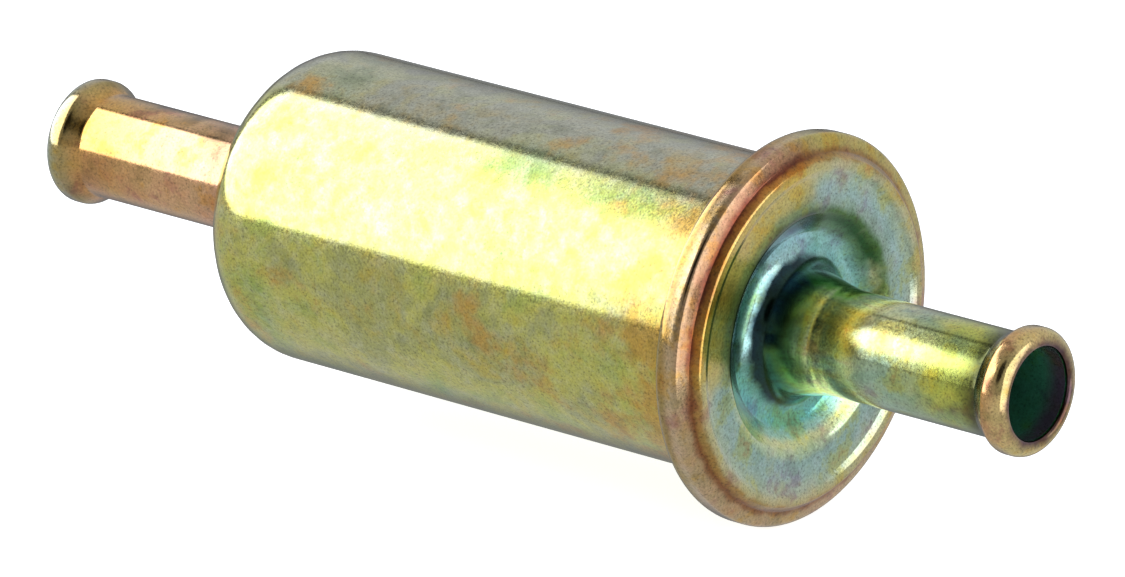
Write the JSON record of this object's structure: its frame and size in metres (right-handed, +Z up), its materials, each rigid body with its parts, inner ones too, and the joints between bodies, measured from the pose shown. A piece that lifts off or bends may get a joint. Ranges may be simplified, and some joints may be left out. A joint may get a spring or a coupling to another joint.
{
  "type": "in-line fuel filter",
  "caption": "Metal in-line fuel filter: drawn round-ended can, stamped cover crimped on over a flange, beaded hose tube at each end, spring-held pleated paper element inside.",
  "frame": {"origin": "on the filter's axis, half way between the two tube mouths", "axes": "+X along the axis in the direction the fuel flows, from the inlet tube to the outlet tube; +Z up; +Y completes the frame"},
  "size_m": [0.11, 0.0352, 0.0352],
  "materials": {
    "can_plating": "yellow zinc chromate, glossy",
    "inlet_plating": "yellow zinc chromate with copper and rose tints",
    "braze": "brazing metal under yellow plating",
    "cover_plating": "yellow zinc chromate, iridescent",
    "seal_rubber": "matt",
    "filter_paper": "resin-treated pleated paper",
    "plain_steel": "plain steel strip",
    "tinned_core": "perforated tinned steel",
    "tinned_cap": "tinned steel",
    "adhesive": "cured plastisol",
    "spring_wire": "drawn spring wire"
  },
  "bodies": {
    "housing": {"can_shell": "can_plating", "inlet_nipple": "inlet_plating", "inlet_braze_ring": "braze", "end_cover": "cover_plating", "cover_seal": "seal_rubber", "spring_seat": "plain_steel", "element_spring": "spring_wire"},
    "element": {"pleated_paper": "filter_paper", "pleat_seam_clip": "plain_steel", "core_tube": "tinned_core", "inlet_end_cap": "tinned_cap", "outlet_end_cap": "tinned_cap", "inlet_potting": "adhesive", "outlet_potting": "adhesive", "outlet_grommet": "seal_rubber"}
  },
  "joints": [
    {"name": "element_float", "type": "slide", "parent": "housing", "child": "element", "axis": [-1, 0, 0], "range_m": [0, 0.003], "stiffness_N_per_m": 1500, "springref_m": -0.006, "deforming": ["element_spring"]}
  ]
}
